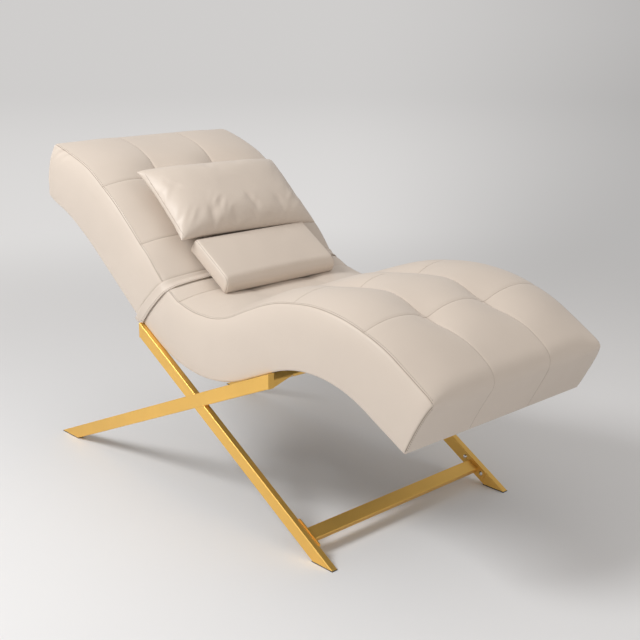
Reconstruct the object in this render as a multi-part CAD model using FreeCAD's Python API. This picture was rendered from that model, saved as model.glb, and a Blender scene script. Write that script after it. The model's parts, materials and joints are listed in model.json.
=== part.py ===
import FreeCAD, Part
import math
import os

V = FreeCAD.Vector

# All sizes are in millimetres and degrees. The foot end points to +X, Z is up,
# and the bed is symmetric about the plane Y = 0.

# Steel side frames of flat rectangular tube
frame_width = 750.0
tube_depth = 40.0
tube_thick = 20.0
tube_wall = 2.0
tube_corner = 2.5
long_leg_angle = 23.75
short_leg_angle = 30.1
heel_spacing = 1180.0
long_leg_reach = 1004.0
short_leg_reach = 779.5
end_plate = 2.0
foot_pad = 3.0

# Rails under the seat and their corner gussets
rail_width = 40.0
rail_height = 20.0
rail_setback = 9.0
gusset_run = 74.0
gusset_plate = 5.0

# Bar at the foot end, bolted to the short legs through its flanges
crossbar_width = 40.0
crossbar_height = 20.0
crossbar_up_leg = 61.0
flange_length = 100.0
flange_width = 34.0
flange_corner = 7.0
flange_plate = 4.0
flange_lift = 6.0
crossbar_bolt_gap = 74.0

# Fasteners
bolt_dia = 8.0
bolt_head_dia = 14.0
bolt_head_height = 4.4
crossbar_bolt_length = 14.0
rivet_nut_dia = 11.0
rivet_nut_flange_dia = 15.0
rivet_nut_flange = 1.0
rivet_nut_length = 15.0
hole_clearance = 0.1
mount_bolt_from_board = 50.0
tee_nut_flange_dia = 22.0
tee_nut_flange = 1.5
tee_nut_dia = 10.0
tee_nut_length = 11.0
screw_dia = 5.0
screw_head_dia = 9.0
screw_head_height = 3.0
screw_bite = 10.0
post_bolt_bite = 14.0

# Curves of the seat underside and of the backrest underside
rear_overhang = 14.5
lumbar_radius = 460.0
knee_radius = 400.0
calf_slope = 28.0
calf_run = 156.0
back_drop = 3.0
back_slope = 37.0
back_run = 288.0
head_radius = 1080.0
head_slope = 20.0

# Joint between the two upholstered halves
joint_tilt = 45.0
joint_gap = 2.0
joint_blend = 150.0
slide_angle = 37.0

# Upholstery section: half widths, heights of the edge seam, crown and tufts
low_half = 361.0
mid_half = 365.0
seam_half = 350.0
column_half = 117.0
crown = 24.0
ridge_level = 13.0
tuft_level = -6.0
tuft_reach = 60.0
seat_height_rear = 170.0
seat_height_mid = 183.0
seat_height_calf = 178.0
seat_height_foot = 170.0
back_height_joint = 174.0
back_height_lower = 190.0
back_height_mid = 197.0
back_height_head = 180.0
back_lower_run = 100.0
end_draw = 12.0
end_round = 30.0
end_crown = 7.0
crown_blend = 150.0
loft_step = 62.0
seat_rows = [752.0, 936.0]
back_rows = [385.0]
cover_thick = 2.0
cover_gap = 0.3
soft_lift = 0.5
form_below = 20.0
tie_dia = 2.0
tie_washer_dia = 24.0
tie_washer = 2.0
tie_slack = 0.4

# Timber frames inside the upholstery
board_half = 340.0
seat_board = 15.0
frame_depth = 69.0
deck_thick = 6.0
slat_width = 60.0
slat_thick = 18.0
lumbar_slats = [250.0, 400.0]
knee_slats = [130.0, 290.0]
back_slats = [290.0, 420.0]
end_board = 15.0
end_board_inset = 30.0
dust_cover = 1.0

# Slip joint: two bars on the backrest go into two sockets on the seat
post_depth = 30.0
post_thick = 15.0
post_wall = 2.0
post_corner = 1.5
post_level = 48.0
post_in_seat = 110.0
post_in_back = 170.0
post_bolt_gap = 90.0
post_clearance = 0.5
socket_wall = 2.5
socket_setback = 8.0
socket_ear = 12.0
socket_ear_length = 40.0
socket_screw_gap = 22.0

# Leather flap over the joint
flap_thick = 2.5
flap_gap = 2.0
flap_on_back = 16.0
flap_on_seat = 22.0
flap_hang = 16.0
flap_leg_gap = 1.0

# Loose head pillow with a knife edge
pillow_width = 524.0
pillow_length = 270.0
pillow_height = 100.0
pillow_waist = 9.0
pillow_edge = 4.0
pillow_place = 207.0
pillow_tilt = 40.5
pillow_rest_gap = 0.6

# Loose lumbar cushion with boxed sides
lumbar_width = 440.0
lumbar_length = 190.0
lumbar_height = 46.0
lumbar_crown = 8.0
lumbar_bulge = 5.0
lumbar_swell = 0.5
lumbar_from_joint = 240.6
lumbar_past_joint = -3.4
lumbar_tilt = 32.4
pillow_cover = 1.5
filling_gap = 0.8

# Worked out from the values above
side_out = frame_width / 2
side_in = side_out - tube_thick
tan_long = math.tan(math.radians(long_leg_angle))
tan_short = math.tan(math.radians(short_leg_angle))
long_rise = tube_depth / math.cos(math.radians(long_leg_angle))
short_rise = tube_depth / math.cos(math.radians(short_leg_angle))
long_foot = tube_depth / math.sin(math.radians(long_leg_angle))
short_foot = tube_depth / math.sin(math.radians(short_leg_angle))
short_top_x = heel_spacing - short_leg_reach
back_board = seat_board + socket_wall + post_clearance
deck_low = dust_cover + frame_depth
deck_high = deck_low + deck_thick
bolt_hole = bolt_dia + 2 * hole_clearance
screw_hole = screw_dia + 2 * hole_clearance
beyond = 3 * frame_width

parts = {}


def direction(degrees):
    return math.cos(math.radians(degrees)), math.sin(math.radians(degrees))


def prism(points, y_from, y_to):
    corners = [V(x, y_from, z) for x, z in points]
    face = Part.Face(Part.makePolygon(corners + corners[:1]))
    return face.extrude(V(0, y_to - y_from, 0))


def side_prism(points, near, far, sign):
    return prism(points, sign * near, sign * far)


def rod(place, axis, dia, length):
    return Part.makeCylinder(dia / 2, length, place, axis)


# A solid bar whose four lengthwise edges are rounded. Its outline's first and third
# sides run along it.
def rounded_bar(outline, y_from, y_to, radius):
    bar = prism(outline, y_from, y_to)
    along = V(outline[1][0] - outline[0][0], 0, outline[1][1] - outline[0][1]).normalize()
    edges = [e for e in bar.Edges if abs(abs(e.tangentAt(e.FirstParameter).dot(along)) - 1) < 1e-6]
    return bar.makeFillet(radius, edges)


def tube_of(box, wall, radius, y_near, y_far, sign):
    outer = rounded_bar(box(0), sign * y_near, sign * y_far, radius)
    return outer.cut(side_prism(box(wall), y_near + wall, y_far - wall, sign))


def both_sides(name, make):
    for side, sign in (("left", 1), ("right", -1)):
        parts[name + "_" + side] = make(sign)


# A rectangle in the XZ plane: its corner, its long direction and its up direction
def rectangle(corner, along, up, a_from, a_to, u_from, u_to):
    spots = ((a_from, u_from), (a_to, u_from), (a_to, u_to), (a_from, u_to))
    return [(corner[0] + a * along[0] + u * up[0], corner[1] + a * along[1] + u * up[1]) for a, u in spots]


# A path is a chain of straight runs and arcs in the XZ plane. It starts at a
# point with a heading. Its upper side is on its left, or on its right where
# it runs towards the head.
def make_path(start, heading, runs, upper):
    pieces = []
    x, z = start
    covered = 0.0
    for length, radius in runs:
        pieces.append((covered, radius, x, z, heading))
        x, z, heading = step_along(radius, x, z, heading, length)
        covered = covered + length
    return {"pieces": pieces, "length": covered, "upper": upper}


def step_along(radius, x, z, heading, step):
    if radius == 0:
        dx, dz = direction(heading)
        return x + step * dx, z + step * dz, heading
    turned = heading + math.degrees(step / radius)
    ax, az = direction(heading - 90)
    bx, bz = direction(turned - 90)
    return x + radius * (bx - ax), z + radius * (bz - az), turned


def place_on(path, distance):
    piece = [p for p in path["pieces"] if p[0] <= max(distance, 0.0)][-1]
    start, radius, x, z, heading = piece
    return step_along(radius, x, z, heading, distance - start)


def offset_point(path, distance, height, y=0.0):
    x, z, heading = place_on(path, distance)
    nx, nz = direction(heading + 90 * path["upper"])
    return V(x + height * nx, y, z + height * nz)


def run_edges(path, start, end, height, y):
    stops = [start] + [p[0] for p in path["pieces"] if start < p[0] < end] + [end]
    edges = []
    for a, b in zip(stops, stops[1:]):
        first, middle, last = [offset_point(path, s, height, y) for s in (a, (a + b) / 2, b)]
        straight = (last - first).cross(middle - first).Length < 1e-6
        curve = Part.LineSegment(first, last) if straight else Part.Arc(first, middle, last)
        edges.append(curve.toShape())
    return edges


# A solid strip that follows a path between two heights and two Y values
def strip(path, start, end, low, high, y_from, y_to):
    edges = run_edges(path, start, end, low, y_from) + run_edges(path, start, end, high, y_from)
    for distance in (start, end):
        ends = [offset_point(path, distance, height, y_from) for height in (low, high)]
        edges.append(Part.LineSegment(*ends).toShape())
    outline = Part.Wire(Part.__sortEdges__(edges))
    return Part.Face(outline).extrude(V(0, y_to - y_from, 0))


def between(value, table):
    for (a, at_a), (b, at_b) in zip(table, table[1:]):
        if value <= b:
            return at_a + (at_b - at_a) * (value - a) / (b - a)
    return table[-1][1]


# Legs: the long leg runs from the head-end foot up to the seat front, the short
# leg from the other foot up to the joint. They cross in one plane, and the short
# leg is cut where the long leg passes.
def long_leg_z(x):
    return foot_pad + x * tan_long


def short_leg_z(x):
    return foot_pad + (heel_spacing - x) * tan_short


def long_leg_outline(wall, overrun):
    cut = wall / math.cos(math.radians(long_leg_angle))
    start, end = -long_foot - overrun, long_leg_reach + overrun
    low = [(x, long_leg_z(x) + cut) for x in (start, end)]
    high = [(x, long_leg_z(x) + long_rise - cut) for x in (end, start)]
    return low + high


def short_leg_outline(wall, overrun):
    cut = wall / math.cos(math.radians(short_leg_angle))
    start, end = short_top_x - overrun, heel_spacing + short_foot + overrun
    low = [(x, short_leg_z(x) + cut) for x in (start, end)]
    high = [(x, short_leg_z(x) + short_rise - cut) for x in (end, start)]
    return low + high


def leg_tube(outline, sign):
    def box(wall):
        return outline(wall, wall * tube_depth)

    tube = tube_of(box, tube_wall, tube_corner, side_in, side_out, sign)
    ground = Part.makeBox(2 * beyond, 2 * beyond, beyond, V(-beyond, -beyond, foot_pad - beyond))
    return tube.cut(ground)


short_heel = (heel_spacing, foot_pad)
along_short = direction(180 - short_leg_angle)
square_short = direction(90 - short_leg_angle)


# A rectangle along the short leg, centred on the crossbar, and lifted from the middle
# of the leg's depth
def crossbar_box(length, height, lift):
    middle = tube_depth / 2 + lift
    return rectangle(short_heel, along_short, square_short,
                     crossbar_up_leg - length / 2, crossbar_up_leg + length / 2,
                     middle - height / 2, middle + height / 2)


crossbar_bolts = crossbar_box(crossbar_bolt_gap, 0, flange_lift)[:2]


def crossbar_rods(sign, start, end, dia):
    return [rod(V(x, sign * start, z), V(0, sign, 0), dia, end - start) for x, z in crossbar_bolts]


def make_short_legs(sign):
    whole = leg_tube(short_leg_outline, sign)
    passing = side_prism(long_leg_outline(0, tube_depth), side_in - tube_wall, side_out + tube_wall, sign)
    lower, upper = sorted(whole.cut(passing).Solids, key=lambda solid: solid.CenterOfMass.z)
    nut_hole = rivet_nut_dia + 2 * hole_clearance
    for hole in crossbar_rods(sign, side_in - tube_wall, side_in + 2 * tube_wall, nut_hole):
        lower = lower.cut(hole)
    return upper, lower


both_sides("long_leg", lambda sign: leg_tube(long_leg_outline, sign))
both_sides("short_leg_upper", lambda sign: make_short_legs(sign)[0])
both_sides("short_leg_lower", lambda sign: make_short_legs(sign)[1])


def make_end_plates():
    plates = []
    level, plumb = (1, 0), (0, 1)
    long_corner = (long_leg_reach, long_leg_z(long_leg_reach))
    short_corner = (short_top_x, short_leg_z(short_top_x))
    long_end = rectangle(long_corner, level, plumb, 0, end_plate, 0, long_rise)
    short_end = rectangle(short_corner, level, plumb, -end_plate, 0, 0, short_rise)
    for sign in (1, -1):
        plates += [side_prism(end, side_in, side_out, sign) for end in (long_end, short_end)]
    return Part.makeCompound(plates)


def make_foot_pads(x_from, x_to):
    sole = [(x_from, 0), (x_to, 0), (x_to, foot_pad), (x_from, foot_pad)]
    return Part.makeCompound([side_prism(sole, side_in, side_out, sign) for sign in (1, -1)])


parts["leg_end_plates"] = make_end_plates()
parts["head_foot_pads"] = make_foot_pads(-long_foot, 0)
parts["foot_end_pads"] = make_foot_pads(heel_spacing, heel_spacing + short_foot)


# Undersides of the two halves. The seat lies on the upper faces of both legs,
# and an arc under the lumbar hollow joins those two lines.
lumbar_turn = math.radians(long_leg_angle + short_leg_angle)
lumbar_arc = lumbar_radius * lumbar_turn
tangent = lumbar_radius * math.tan(lumbar_turn / 2)
meet_x = (short_leg_z(0) + short_rise - long_leg_z(0) - long_rise) / (tan_long + tan_short)
joint_x = short_top_x - rear_overhang
joint_z = short_leg_z(joint_x) + short_rise
rear_flat = (meet_x - joint_x) / math.cos(math.radians(short_leg_angle)) - tangent
front_flat = (long_leg_reach - meet_x) / math.cos(math.radians(long_leg_angle)) - tangent
knee_start = rear_flat + lumbar_arc + front_flat
knee_arc = knee_radius * math.radians(long_leg_angle + calf_slope)
seat_path = make_path(
    (joint_x, joint_z), -short_leg_angle,
    [(rear_flat, 0), (lumbar_arc, lumbar_radius), (front_flat, 0), (knee_arc, -knee_radius), (calf_run, 0)],
    1)
head_arc = head_radius * math.radians(back_slope - head_slope)
back_path = make_path(
    (joint_x - back_drop, joint_z - back_drop), 180 - back_slope,
    [(back_run, 0), (head_arc, head_radius)],
    -1)

seat_heights = [(0, seat_height_rear), (rear_flat, seat_height_rear),
                (rear_flat + lumbar_arc / 2, seat_height_mid), (knee_start, seat_height_mid),
                (knee_start + knee_arc, seat_height_calf), (seat_path["length"], seat_height_foot)]
back_heights = [(0, back_height_joint), (back_lower_run, back_height_lower), (back_run, back_height_mid),
                (back_run + head_arc / 2, back_height_mid), (back_path["length"], back_height_head)]

joint_up = direction(90 - joint_tilt)
joint_across = direction(-joint_tilt)



# Level of a flat slat over a path. In a hollow curve its edges stay above the curve.
def slat_low(path, middle):
    x, z, heading = place_on(path, middle)
    up = direction(heading + 90 * path["upper"])
    reach = slat_width / 2 + dust_cover
    ends = [offset_point(path, middle + shift, dust_cover) for shift in (-reach, reach)]
    return max([dust_cover] + [(p.x - x) * up[0] + (p.z - z) * up[1] for p in ends])


# A flat slat on the underside, square to the path at its middle
def flat_slat(path, middle, half):
    x, z, heading = place_on(path, middle)
    up = direction(heading + 90 * path["upper"])
    reach = slat_width / 2
    low = slat_low(path, middle)
    outline = rectangle((x, z), direction(heading), up, -reach, reach, low, low + slat_thick)
    return prism(outline, -half, half)


# A bar across the bed with its four lengthwise edges rounded
def cross_tube(outline, reach):
    bar = prism(outline, -reach, reach)
    edges = [e for e in bar.Edges if abs(e.BoundBox.YLength - 2 * reach) < 1e-6]
    return bar.makeFillet(tube_corner, edges)


# Rails lie flat between the upper ends of the legs, flush with the legs' upper faces
def rail_box(corner, slope, towards, wall):
    along, up = direction(slope), direction(slope + 90)
    start = rail_setback + wall
    end = rail_setback + rail_width - wall
    return rectangle(corner, along, up, towards * start, towards * end, wall - rail_height, -wall)


front_corner = (long_leg_reach, long_leg_z(long_leg_reach) + long_rise)
rear_corner = (short_top_x, short_leg_z(short_top_x) + short_rise)
rails = {"front_rail": (front_corner, long_leg_angle, -1), "rear_rail": (rear_corner, -short_leg_angle, 1)}


rail_middle = rail_setback + rail_width / 2
rear_slat = rear_overhang / math.cos(math.radians(short_leg_angle)) + rail_middle
front_slat = knee_start - rail_middle
seat_slats = [rear_slat] + lumbar_slats + [front_slat] + [knee_start + s for s in knee_slats]


# Seat, axis and clamped thickness of the bolts that hold the seat down on a rail
def mount_seats(distance):
    x, z, heading = place_on(seat_path, distance)
    ux, uz = direction(heading + 90)
    up = V(ux, 0, uz)
    reach = board_half - seat_board - mount_bolt_from_board
    stack = rail_height + slat_low(seat_path, distance) + slat_thick
    return [(V(x, sign * reach, z) - up * rail_height, up, stack) for sign in (1, -1)]


mounts = mount_seats(front_slat) + mount_seats(rear_slat)
mount_holes = [rod(seat - up * rail_height, up, bolt_hole, 3 * stack) for seat, up, stack in mounts]

for name, (corner, slope, towards) in rails.items():
    outer = cross_tube(rail_box(corner, slope, towards, 0), side_in)
    bore = prism(rail_box(corner, slope, towards, tube_wall), -side_in, side_in)
    parts[name] = outer.cut(bore).cut(Part.makeCompound(mount_holes))


# Triangular plates in the corners between the front rail and the long legs
def make_gussets():
    x, z = rail_box(*rails["front_rail"], 0)[0]
    drop = z - long_leg_z(x)
    plates = []
    for sign in (1, -1):
        corner = V(x, sign * side_in, z)
        along = corner - V(0, sign * gusset_run, 0)
        down = corner - V(0, 0, drop)
        face = Part.Face(Part.makePolygon([corner, along, down, corner]))
        plates.append(face.extrude(V(-gusset_plate, 0, -gusset_plate * tan_long)))
    return Part.makeCompound(plates)


parts["rail_gussets"] = make_gussets()


def make_crossbar():
    reach = side_in - flange_plate
    outer = cross_tube(crossbar_box(crossbar_width, crossbar_height, 0), reach)
    bore = crossbar_box(crossbar_width - 2 * tube_wall, crossbar_height - 2 * tube_wall, 0)
    return outer.cut(prism(bore, -reach, reach))


def make_flange(sign):
    outline = crossbar_box(flange_length, flange_width, flange_lift)
    plate = side_prism(outline, side_in - flange_plate, side_in, sign)
    corners = [e for e in plate.Edges if abs(e.BoundBox.YLength - flange_plate) < 1e-6]
    plate = plate.makeFillet(flange_corner, corners)
    for hole in crossbar_rods(sign, side_in - 2 * flange_plate, side_in + flange_plate, bolt_hole):
        plate = plate.cut(hole)
    return plate


# A bolt turned about its axis, with a domed head under its seat
def domed_bolt(seat, axis, length):
    radius = (bolt_head_dia ** 2 / 4 + bolt_head_height ** 2) / (2 * bolt_head_height)
    half_turn = math.asin(bolt_head_dia / 2 / radius) / 2
    on_dome = V(radius * math.sin(half_turn), 0, radius * (1 - math.cos(half_turn)) - bolt_head_height)
    rim, crest = V(bolt_head_dia / 2, 0, 0), V(0, 0, -bolt_head_height)
    shank = [rim, V(bolt_dia / 2, 0, 0), V(bolt_dia / 2, 0, length), V(0, 0, length), crest]
    outline = Part.Wire([Part.makePolygon(shank), Part.Arc(crest, on_dome, rim).toShape()])
    bolt = Part.Face(outline).revolve(V(0, 0, 0), V(0, 0, 1), 360)
    bolt.Placement = FreeCAD.Placement(seat, FreeCAD.Rotation(V(0, 0, 1), axis))
    return bolt


def make_crossbar_bolts():
    bolts = []
    for sign in (1, -1):
        for x, z in crossbar_bolts:
            seat = V(x, sign * (side_in - flange_plate), z)
            bolts.append(domed_bolt(seat, V(0, sign, 0), crossbar_bolt_length))
    return Part.makeCompound(bolts)


def make_rivet_nuts():
    nuts = []
    for sign in (1, -1):
        axis = V(0, sign, 0)
        for x, z in crossbar_bolts:
            start = V(x, sign * side_in, z)
            nut = rod(start, axis, rivet_nut_dia, rivet_nut_length)
            nut = nut.fuse(rod(start + axis * tube_wall, axis, rivet_nut_flange_dia, rivet_nut_flange))
            nuts.append(nut.cut(rod(start, axis, bolt_hole, rivet_nut_length)).removeSplitter())
    return Part.makeCompound(nuts)


parts["crossbar"] = make_crossbar()
both_sides("crossbar_flange", make_flange)
parts["crossbar_bolts"] = make_crossbar_bolts()
parts["crossbar_rivet_nuts"] = make_rivet_nuts()


# Downward slope of a path, towards the foot end
def path_slope(path, distance):
    heading = place_on(path, distance)[2]
    return -heading if path["upper"] == 1 else 180 - heading


# Tilt of a section from the vertical, towards the foot end
def section_tilt(path, distance):
    share = min(1.0, max(0.0, 1 - distance / joint_blend))
    return path_slope(path, distance) + (joint_tilt - path_slope(path, 0)) * share


def section_frame(path, distance):
    x, z = place_on(path, distance)[:2]
    nx, nz = direction(90 - section_tilt(path, distance))
    return V(x, 0, z), V(nx, 0, nz)


# One closed section across the upholstery: flat bottom, bulged sides and three
# crowned columns that meet in the two lengthwise seams
def upholstery_section(path, distance, height, seam_rise, crown_rise, draw, bottom):
    origin, up = section_frame(path, distance)

    def at(y, level):
        return origin + up * level + V(0, y, 0)

    seam = seam_half - draw
    outer = (seam + column_half) / 2
    left = [at(draw - low_half, bottom), at(draw - mid_half, height / 2), at(-seam, height),
            at(-outer, height + crown_rise), at(-column_half, height + seam_rise)]
    right = [V(p.x, -p.y, p.z) for p in left]
    curves = [Part.LineSegment(right[0], left[0]), Part.Arc(*left[0:3]), Part.Arc(*left[2:5]),
              Part.Arc(left[4], at(0, height + crown_rise), right[4]),
              Part.Arc(right[4], right[3], right[2]), Part.Arc(right[2], right[1], right[0])]
    return Part.Wire([curve.toShape() for curve in curves])


# Crown, lengthwise seam and draw-in at a distance along a path
def section_rises(path, distance, rows):
    left_over = max(path["length"] - distance, 0.0)
    share = math.sin(math.radians(90 * min(1.0, left_over / crown_blend)))
    crown_rise = end_crown + (crown - end_crown) * share
    ridge = crown_rise * ridge_level / crown
    pull = max(math.exp(-((distance - row) / tuft_reach) ** 2) for row in rows)
    into_round = min(1.0, max(0.0, 1 - left_over / end_round))
    draw = end_draw * (1 - math.sqrt(1 - into_round ** 2))
    return crown_rise, ridge + (tuft_level - ridge) * pull, draw


# Places of the sections: both ends, the tuft rows, and points between them
def loft_places(path, rows, inset):
    length = path["length"]
    stops = [0.0] + rows + [length - 2 * end_round]
    places = [inset]
    for a, b in zip(stops, stops[1:]):
        count = max(2, round((b - a) / loft_step))
        places += [a + (b - a) * i / count for i in range(1, count + 1)]
    places += [length - end_round * share for share in (1.0, 0.5, 0.2)]
    return places + [length - inset]


# The upholstered form, drawn in by an inset for the layers under the leather
def upholstery(path, rows, heights, inset, below):
    wires = []
    for distance in loft_places(path, rows, inset):
        crown_rise, seam_rise, draw = section_rises(path, distance, rows)
        height = between(distance, heights) - draw - inset
        wires.append(upholstery_section(path, distance, height, seam_rise, crown_rise, draw + inset, -below))
    return Part.makeLoft(wires, True, False)


# Half space on one side of the joint plane, some distance off it
def joint_side(path, gap):
    corner = V(0 if path["upper"] == 1 else -beyond, -beyond, -beyond)
    half = Part.makeBox(beyond, 2 * beyond, 2 * beyond, corner)
    half.rotate(V(0, 0, 0), V(0, 1, 0), joint_tilt)
    shift = gap * path["upper"]
    half.translate(V(joint_x + shift * joint_across[0], 0, joint_z + shift * joint_across[1]))
    return half


# Frame, lower end and length of each tie that pulls a tuft down to the deck
def tie_lines(path, rows, heights):
    lines = []
    for row in rows:
        origin, up = section_frame(path, row)
        nx, nz = direction(90 - path_slope(path, row))
        square = V(nx, 0, nz)
        low = (deck_low - tie_slack) / up.dot(square)
        top = between(row, heights) + tuft_level - cover_thick - tie_dia
        for sign in (1, -1):
            lines.append((origin + up * low + V(0, sign * column_half, 0), up, top - low, square))
    return lines


# Each tie ends in a washer under the deck
def make_ties(lines):
    ties = []
    for foot, up, length, square in lines:
        washer = rod(foot - square * tie_washer, square, tie_washer_dia, tie_washer)
        ties.append(rod(foot, up, tie_dia, length).fuse(washer).removeSplitter())
    return Part.makeCompound(ties)


def tie_holes(lines):
    hole = tie_dia + 2 * hole_clearance
    below = 2 * deck_thick
    rods = [rod(line[0] - line[1] * below, line[1], hole, line[2] + below) for line in lines]
    return Part.makeCompound(rods)


# All layers of one upholstered half
def upholstered_half(name, path, rows, heights, board, slats):
    length = path["length"]
    end = length - end_board_inset
    start = -2 * tube_depth
    keep_cover = joint_side(path, joint_gap / 2)
    keep_inner = joint_side(path, joint_gap / 2 + cover_thick)
    keep_rest = joint_side(path, joint_gap / 2 + cover_thick + cover_gap)
    past = length + tube_depth
    above = strip(path, start, past, soft_lift, 2 * seat_height_mid, -beyond, beyond)
    outer = upholstery(path, rows, heights, 0.0, form_below).common(keep_cover)
    inner = upholstery(path, rows, heights, cover_thick, form_below).common(keep_inner)
    parts[name + "_cover"] = outer.cut(inner).common(above)
    hollow = strip(path, start, end + cover_gap, -2 * tube_depth, deck_high + cover_gap,
                   -board_half - cover_gap, board_half + cover_gap)
    lines = tie_lines(path, rows, heights)
    foam = upholstery(path, rows, heights, cover_thick + cover_gap, form_below)
    foam = foam.common(keep_rest).common(above)
    edge = strip(path, start, past, -2 * tube_depth, deck_high, -beyond, beyond)
    under_pad = strip(path, start, past, -2 * tube_depth, deck_high + cover_gap, -beyond, beyond)
    parts[name + "_foam"] = foam.cut(under_pad).cut(tie_holes(lines))
    parts[name + "_edge_foam"] = foam.common(edge).cut(hollow)
    parts[name + "_tuft_ties"] = make_ties(lines)

    def side_board(sign):
        near, far = sign * (board_half - board), sign * board_half
        return strip(path, start, end - end_board, dust_cover, deck_low, near, far).common(keep_rest)

    both_sides(name + "_side_board", side_board)
    across = (-board_half, board_half)
    parts[name + "_end_board"] = strip(path, end - end_board, end, dust_cover, deck_low, *across)
    for number, middle in enumerate(slats, 1):
        parts["%s_slat_%d" % (name, number)] = flat_slat(path, middle, board_half - board)
    deck = strip(path, start, end, deck_low, deck_high, *across).common(keep_rest)
    parts[name + "_deck"] = deck.cut(tie_holes(lines))
    parts[name + "_dust_cover"] = strip(path, start, end, 0, dust_cover, *across).common(keep_rest)


upholstered_half("seat", seat_path, seat_rows, seat_heights, seat_board, seat_slats)
upholstered_half("back", back_path, back_rows, back_heights, back_board, back_slats)


# Bolts through the rails into tee nuts in the slats above them
def make_mount_bolts():
    return Part.makeCompound([domed_bolt(*mount) for mount in mounts])


def make_tee_nuts():
    nuts = []
    for seat, up, stack in mounts:
        top = seat + up * stack
        nut = rod(top - up * tee_nut_length, up, tee_nut_dia, tee_nut_length)
        nut = nut.fuse(rod(top, up, tee_nut_flange_dia, tee_nut_flange))
        nuts.append(nut.cut(rod(seat, up, bolt_hole, 2 * stack)).removeSplitter())
    return Part.makeCompound(nuts)


def drill_slat(name):
    shape = parts[name]
    for seat, up, stack in mounts:
        top = seat + up * stack
        shape = shape.cut(rod(top - up * tee_nut_length, up, tee_nut_dia, 2 * tee_nut_length))
    parts[name] = shape.cut(Part.makeCompound(mount_holes))


parts["seat_mount_bolts"] = make_mount_bolts()
parts["seat_tee_nuts"] = make_tee_nuts()
for name in ("seat_slat_1", "seat_slat_4"):
    drill_slat(name)
parts["seat_dust_cover"] = parts["seat_dust_cover"].cut(Part.makeCompound(mount_holes))


# Slip joint, measured down the slide from the joint plane
slide_down = direction(-slide_angle)
slide_square = direction(90 - slide_angle)
post_start = (joint_x + post_level * joint_up[0], joint_z + post_level * joint_up[1])
post_out = board_half - back_board
post_in = post_out - post_thick
socket_out = post_out + post_clearance + socket_wall
socket_in = post_in - post_clearance - socket_wall
socket_half = post_depth / 2 + post_clearance + socket_wall
socket_end = post_in_seat + socket_wall
ear_start = socket_end - socket_ear_length


def slide_box(down_from, down_to, low, high):
    return rectangle(post_start, slide_down, slide_square, down_from, down_to, low, high)


def slide_point(down, level, y):
    return V(post_start[0] + down * slide_down[0] + level * slide_square[0], y,
             post_start[1] + down * slide_down[1] + level * slide_square[1])


post_bolts = [-post_in_back / 2 - post_bolt_gap / 2, -post_in_back / 2 + post_bolt_gap / 2]
ear_level = socket_half + socket_ear / 2
ear_middle = ear_start + socket_ear_length / 2
ear_screws = [ear_middle - socket_screw_gap / 2, ear_middle + socket_screw_gap / 2]


def make_post(sign):
    half = post_depth / 2

    def box(wall):
        return slide_box(-post_in_back - wall, post_in_seat + wall, wall - half, half - wall)

    bar = tube_of(box, post_wall, post_corner, post_in, post_out, sign)
    for down in post_bolts:
        start = slide_point(down, 0, sign * (post_in - post_wall))
        bar = bar.cut(rod(start, V(0, sign, 0), bolt_hole, 2 * post_thick))
    return bar


# The slot that a bar needs in the leather at the joint
def post_slot(sign):
    half = post_depth / 2 + post_clearance
    box = slide_box(-post_in_back, post_in_seat, -half, half)
    return side_prism(box, post_in - post_clearance, post_out + post_clearance, sign)


def make_socket(sign):
    half = socket_half - socket_wall
    sleeve_box = slide_box(socket_setback, socket_end, -socket_half, socket_half)
    ear_box = slide_box(ear_start, socket_end, 0, socket_half + socket_ear)
    bore_box = slide_box(0, post_in_seat, -half, half)
    sleeve = side_prism(sleeve_box, socket_in, socket_out, sign)
    ear = side_prism(ear_box, socket_out - socket_wall, socket_out, sign)
    bore = side_prism(bore_box, socket_in + socket_wall, socket_out - socket_wall, sign)
    body = sleeve.fuse(ear).cut(bore).removeSplitter()
    for down in ear_screws:
        start = slide_point(down, ear_level, sign * (socket_out - 2 * socket_wall))
        body = body.cut(rod(start, V(0, sign, 0), screw_hole, 4 * socket_wall))
    return body


both_sides("back_post", make_post)
both_sides("post_socket", make_socket)


# Fasteners of the slip joint, each with its hole in the board behind
def make_post_bolts():
    bolts = []
    for sign in (1, -1):
        for down in post_bolts:
            seat = slide_point(down, 0, sign * post_in)
            bolts.append(domed_bolt(seat, V(0, sign, 0), post_thick + post_bolt_bite))
    return Part.makeCompound(bolts)


def make_socket_screws():
    screws = []
    for sign in (1, -1):
        axis = V(0, sign, 0)
        for down in ear_screws:
            seat = slide_point(down, ear_level, sign * (socket_out - socket_wall))
            head = Part.makeCone(screw_dia / 2, screw_head_dia / 2, screw_head_height, seat, axis * -1)
            screws.append(rod(seat, axis, screw_dia, socket_wall + screw_bite).fuse(head).removeSplitter())
    return Part.makeCompound(screws)


parts["back_post_bolts"] = make_post_bolts()
parts["socket_screws"] = make_socket_screws()

for side, sign in (("left", 1), ("right", -1)):
    axis = V(0, sign, 0)
    back_holes = [rod(slide_point(down, 0, sign * post_in), axis, bolt_hole, post_thick + post_bolt_bite)
                  for down in post_bolts]
    seat_holes = [rod(slide_point(down, ear_level, sign * socket_in), axis, screw_hole,
                      socket_out - socket_in + screw_bite) for down in ear_screws]
    for name, holes in (("back_side_board_" + side, back_holes), ("seat_side_board_" + side, seat_holes)):
        parts[name] = parts[name].cut(Part.makeCompound(holes))
    for name in ("seat_cover", "back_cover"):
        parts[name] = parts[name].cut(post_slot(sign))


# Flap: a leather band sewn to the end of the backrest, which covers the joint and
# hangs down beside the ends of the short legs
def flap_half(path, rows, heights, reach):
    outer = upholstery(path, rows, heights, -flap_gap - flap_thick, flap_hang)
    inner = upholstery(path, rows, heights, -flap_gap, 2 * flap_hang)
    return outer.cut(inner).common(joint_side(path, 0)).cut(joint_side(path, reach))


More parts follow.
